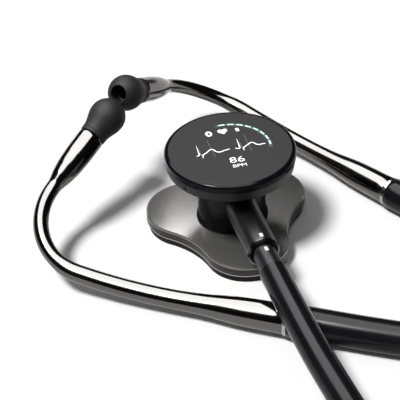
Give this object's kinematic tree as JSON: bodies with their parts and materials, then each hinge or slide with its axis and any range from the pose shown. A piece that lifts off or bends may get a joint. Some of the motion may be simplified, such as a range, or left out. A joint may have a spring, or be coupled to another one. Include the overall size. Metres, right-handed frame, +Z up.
{
  "type": "electronic stethoscope",
  "caption": "Electronic stethoscope with a round display head on a three-lobed sensor base, a plug-in rubber hose, a sprung yoke, polished ear tubes and soft ear tips.",
  "frame": {"origin": "centre of the diaphragm's lower face, on the surface the object rests on", "axes": "+Z up out of the display; the stem and its plug point along -Y"},
  "size_m": [0.2397, 0.3432, 0.0489],
  "materials": {
    "hose_rubber": "gloss black rubber",
    "gunmetal": "satin gunmetal",
    "plug_metal": "plated contacts",
    "seal_rubber": "matt black",
    "spring_steel": "bright strip",
    "diaphragm_film": "fine matt film",
    "electrode_steel": "brushed",
    "foam": "foam",
    "rim_rubber": "satin black",
    "circuit_board": "solder mask",
    "sensor_can": "drawn can",
    "bright_steel": "polished",
    "brushed_band": "brushed dark steel",
    "dark_chrome_plate": "polished smoked steel",
    "gloss_black": "gloss black",
    "screw_steel": "zinc plated",
    "battery_wrap": "shrink wrap",
    "socket_plastic": "moulded",
    "matte_black": "fine matt black",
    "display_glass": "dark panel",
    "cover_glass": "etched black glass",
    "smoked_chrome": "polished smoked metal",
    "soft_silicone": "matt black silicone"
  },
  "bodies": {
    "tubing": {"main_hose": "hose_rubber", "hose_collar": "gunmetal", "plug_barrel": "plug_metal", "plug_seal": "seal_rubber", "yoke": "hose_rubber", "leaf_spring": "spring_steel"},
    "chestpiece": {"diaphragm": "diaphragm_film", "electrode_pads": "electrode_steel", "sensor_foam": "foam", "rubber_rim": "rim_rubber", "sensor_board": "circuit_board", "heart_sensor": "sensor_can", "bright_bead": "bright_steel", "base_band": "brushed_band", "base_plate": "dark_chrome_plate", "neck_gasket": "seal_rubber", "neck_housing": "gloss_black", "base_screws": "screw_steel", "battery": "battery_wrap", "stem_sleeve": "gunmetal", "stem_ring": "bright_steel", "socket_insert": "socket_plastic", "head_shell": "matte_black", "head_screws": "screw_steel", "main_board": "circuit_board", "charging_port": "sensor_can", "display_panel": "display_glass", "bezel": "gloss_black", "cover_glass": "cover_glass", "rocker_pin": "screw_steel"},
    "volume_rocker": {"volume_rocker": "matte_black"},
    "power_button": {"power_button": "matte_black"},
    "left_arm": {"left_arm": "hose_rubber"},
    "right_arm": {"right_arm": "hose_rubber"},
    "left_ear_tube": {"left_ear_tube": "smoked_chrome", "left_ferrule": "bright_steel", "left_speaker": "sensor_can"},
    "right_ear_tube": {"right_ear_tube": "smoked_chrome", "right_ferrule": "bright_steel", "right_speaker": "sensor_can"},
    "left_ear_tip": {"left_ear_tip": "soft_silicone"},
    "right_ear_tip": {"right_ear_tip": "soft_silicone"}
  },
  "joints": [
    {"name": "plug_slide", "type": "slide", "parent": "tubing", "child": "chestpiece", "axis": [0, 1, 0], "range_m": [0, 0.013]},
    {"name": "rocker_tilt", "type": "hinge", "parent": "chestpiece", "child": "volume_rocker", "pos_m": [-0.0232, -0.00305, 0.0331], "axis": [0, 0, 1], "range_deg": [-1.2, 1.2], "stiffness_Nm_per_rad": 0.05},
    {"name": "power_press", "type": "slide", "parent": "chestpiece", "child": "power_button", "axis": [-0.9397, -0.342, 0], "range_m": [0, 0.0005], "stiffness_N_per_m": 1500, "springref_m": -0.0001},
    {"name": "left_spread", "type": "hinge", "parent": "tubing", "child": "left_arm", "pos_m": [0.10923, -0.10756, 0.007], "axis": [0, 0, -1], "range_deg": [0, 20], "stiffness_Nm_per_rad": 2, "springref_deg": -2.86},
    {"name": "right_spread", "type": "hinge", "parent": "tubing", "child": "right_arm", "pos_m": [0.09819, -0.11772, 0.007], "axis": [0, 0, 1], "range_deg": [0, 20], "stiffness_Nm_per_rad": 2, "springref_deg": -2.86},
    {"name": "left_tube_turn", "type": "hinge", "parent": "left_arm", "child": "left_ear_tube", "pos_m": [0.06344, -0.007, 0.0061], "axis": [-0.4741, 0.8805, 0], "range_deg": [0, 20]},
    {"name": "right_tube_turn", "type": "hinge", "parent": "right_arm", "child": "right_ear_tube", "pos_m": [0.00177, -0.06375, 0.0061], "axis": [0.8381, -0.5455, 0], "range_deg": [0, 20]},
    {"name": "left_tip_turn", "type": "hinge", "parent": "left_ear_tube", "child": "left_ear_tip", "pos_m": [-0.0231, 0.05109, 0.03711], "axis": [-0.6065, -0.6606, 0.4425], "continuous": true},
    {"name": "right_tip_turn", "type": "hinge", "parent": "right_ear_tube", "child": "right_ear_tip", "pos_m": [-0.04726, 0.02823, 0.03509], "axis": [0.741, 0.5439, 0.3938], "continuous": true}
  ]
}
